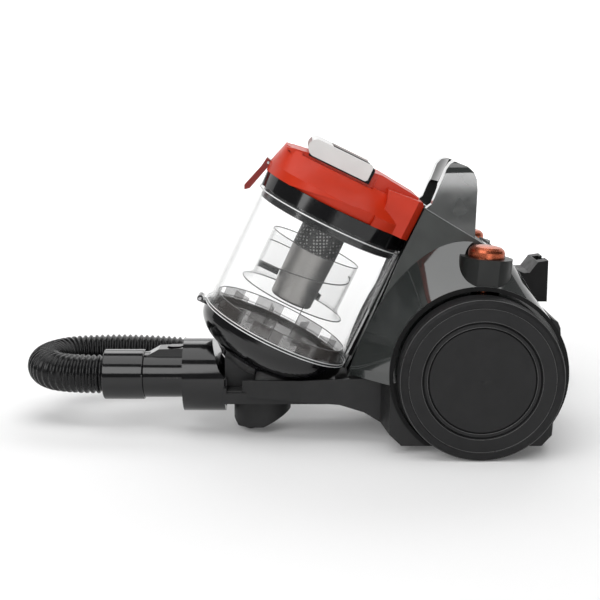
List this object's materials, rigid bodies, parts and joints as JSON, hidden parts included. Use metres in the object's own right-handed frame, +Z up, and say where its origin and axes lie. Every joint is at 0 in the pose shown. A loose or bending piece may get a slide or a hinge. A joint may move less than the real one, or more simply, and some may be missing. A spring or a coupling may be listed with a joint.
{
  "type": "canister vacuum cleaner",
  "caption": "Bagless canister vacuum cleaner with a tilted clear dust bin, red lid, large rear wheels, a swivel caster and a ribbed suction hose.",
  "frame": {"origin": "on the floor, under the centre of the machine's box without its hose", "axes": "+X to the rear, the hose collar faces -X; +Y to the machine's right side; +Z up"},
  "size_m": [0.645, 0.5588, 0.3073],
  "materials": {
    "body_gloss": "high-gloss dark grey ABS",
    "body_matte": "fine-grained charcoal polypropylene",
    "spine_matte": "smooth satin black-grey ABS",
    "wheel_plastic": "fine-textured charcoal plastic",
    "tyre_rubber": "soft matt tread",
    "trim_black": "satin black",
    "lid_red": "satin red-orange ABS",
    "latch_red": "glossy dark red",
    "handle_silver": "satin silver paint",
    "knob_copper": "metallised copper",
    "clear_plastic": "clear polycarbonate",
    "smoky_plastic": "smoky translucent plastic",
    "door_black": "high-gloss black",
    "screen_metal": "fine perforated metal",
    "hose_plastic": "dark corrugated hose plastic",
    "duct_plastic": "plain grey plastic",
    "seal_rubber": "soft black seal",
    "steel": "bright steel",
    "motor_steel": "galvanised sheet",
    "filter_foam": "off-white filter foam"
  },
  "bodies": {
    "machine": {"chassis_base": "body_matte", "side_shell_left": "body_gloss", "side_shell_right": "body_gloss", "spine_cover": "spine_matte", "rear_cover": "body_gloss", "carry_handle": "body_gloss", "rear_bracket": "trim_black", "exhaust_filter": "filter_foam", "arch_trims": "trim_black", "axle_stubs": "steel", "button_collars": "spine_matte", "power_spring": "steel", "rewind_spring": "steel", "inlet_collar": "door_black", "hose_connector": "door_black", "hose_cuff": "door_black", "hose": "hose_plastic", "wand_cuff": "door_black", "inlet_duct": "duct_plastic", "inlet_gasket": "seal_rubber", "dirty_air_riser": "duct_plastic", "clean_air_duct": "duct_plastic", "motor_housing": "motor_steel", "motor_stator": "motor_steel", "motor_mounts": "seal_rubber", "motor_cradle": "duct_plastic", "reel_frame": "duct_plastic", "reel_spring": "steel", "cord_grommet": "seal_rubber", "screws": "steel"},
    "left_wheel": {"wheel_left": "wheel_plastic", "tyre_left": "tyre_rubber"},
    "right_wheel": {"wheel_right": "wheel_plastic", "tyre_right": "tyre_rubber"},
    "caster_swivel": {"caster_fork": "body_matte", "caster_pin": "steel"},
    "caster_roller": {"caster_wheel": "tyre_rubber"},
    "power_button": {"power_button": "knob_copper"},
    "rewind_button": {"rewind_button": "knob_copper"},
    "connector_button": {"connector_button": "door_black"},
    "motor_rotor": {"motor_rotor": "steel"},
    "reel_drum": {"reel_drum": "duct_plastic"},
    "exhaust_cover": {"exhaust_cover": "body_matte"},
    "dust_bin": {"bin_cup": "clear_plastic", "door_pin": "steel", "separator_ring": "door_black", "screen_upper": "trim_black", "screen_lower": "screen_metal", "shroud": "clear_plastic"},
    "bin_door": {"door_shell": "door_black", "door_fins": "smoky_plastic", "door_seal": "seal_rubber"},
    "door_latch": {"door_latch": "trim_black"},
    "lid": {"lid_shell": "lid_red", "lid_floor": "trim_black", "lid_seal": "seal_rubber", "premotor_filter": "filter_foam", "lid_pins": "steel"},
    "lid_latch": {"lid_latch": "latch_red"},
    "bin_handle": {"bin_handle": "handle_silver"}
  },
  "joints": [
    {"name": "left_wheel_spin", "type": "hinge", "parent": "machine", "child": "left_wheel", "pos_m": [0.104, -0.1035, 0.0805], "axis": [0, 1, 0], "continuous": true},
    {"name": "right_wheel_spin", "type": "hinge", "parent": "machine", "child": "right_wheel", "pos_m": [0.104, 0.1035, 0.0805], "axis": [0, 1, 0], "continuous": true},
    {"name": "caster_turn", "type": "hinge", "parent": "machine", "child": "caster_swivel", "pos_m": [-0.1115, 0, 0.035], "axis": [0, 0, 1], "continuous": true},
    {"name": "caster_roll", "type": "hinge", "parent": "caster_swivel", "child": "caster_roller", "pos_m": [-0.1235, 0, 0.0125], "axis": [0, 1, 0], "continuous": true},
    {"name": "power_press", "type": "slide", "parent": "machine", "child": "power_button", "axis": [-0.0785, 0, -0.9969], "range_m": [0, 0.004], "stiffness_N_per_m": 400, "springref_m": -0.003, "deforming": ["power_spring"]},
    {"name": "rewind_press", "type": "slide", "parent": "machine", "child": "rewind_button", "axis": [-0.0785, 0, -0.9969], "range_m": [0, 0.004], "stiffness_N_per_m": 400, "springref_m": -0.003, "deforming": ["rewind_spring"]},
    {"name": "connector_press", "type": "slide", "parent": "machine", "child": "connector_button", "axis": [0, 0, -1], "range_m": [0, 0.0025], "stiffness_N_per_m": 400, "springref_m": -0.003},
    {"name": "rotor_spin", "type": "hinge", "parent": "machine", "child": "motor_rotor", "pos_m": [0.1, -0.04, 0.088], "axis": [0, 1, 0], "continuous": true},
    {"name": "reel_spin", "type": "hinge", "parent": "machine", "child": "reel_drum", "pos_m": [0.1, 0.04, 0.088], "axis": [0, 1, 0], "continuous": true},
    {"name": "exhaust_cover_slide", "type": "slide", "parent": "machine", "child": "exhaust_cover", "axis": [1, 0, 0], "range_m": [0, 0.04]},
    {"name": "bin_lift", "type": "slide", "parent": "machine", "child": "dust_bin", "axis": [0.4352, 0, 0.9003], "range_m": [0, 0.2]},
    {"name": "door_swing", "type": "hinge", "parent": "dust_bin", "child": "bin_door", "pos_m": [-0.17558, 0, 0.14171], "axis": [0, 1, 0], "range_deg": [0, 50.1]},
    {"name": "door_latch_slide", "type": "slide", "parent": "dust_bin", "child": "door_latch", "axis": [-0.4352, 0, -0.9003], "range_m": [0, 0.003], "stiffness_N_per_m": 300, "springref_m": -0.003},
    {"name": "lid_lift", "type": "slide", "parent": "dust_bin", "child": "lid", "axis": [0.4352, 0, 0.9003], "range_m": [0, 0.08]},
    {"name": "lid_latch_flip", "type": "hinge", "parent": "lid", "child": "lid_latch", "pos_m": [-0.10383, 0, 0.2823], "axis": [0, 1, 0], "range_deg": [0, 25], "stiffness_Nm_per_rad": 0.2, "springref_deg": -5.73},
    {"name": "bin_handle_swing", "type": "hinge", "parent": "lid", "child": "bin_handle", "pos_m": [-0.00921, 0, 0.27676], "axis": [0, 1, 0], "range_deg": [0, 90]}
  ],
  "couplings": [
    {"joint": "door_swing", "follows": "bin_lift", "rad_per_m": 4.3633}
  ]
}
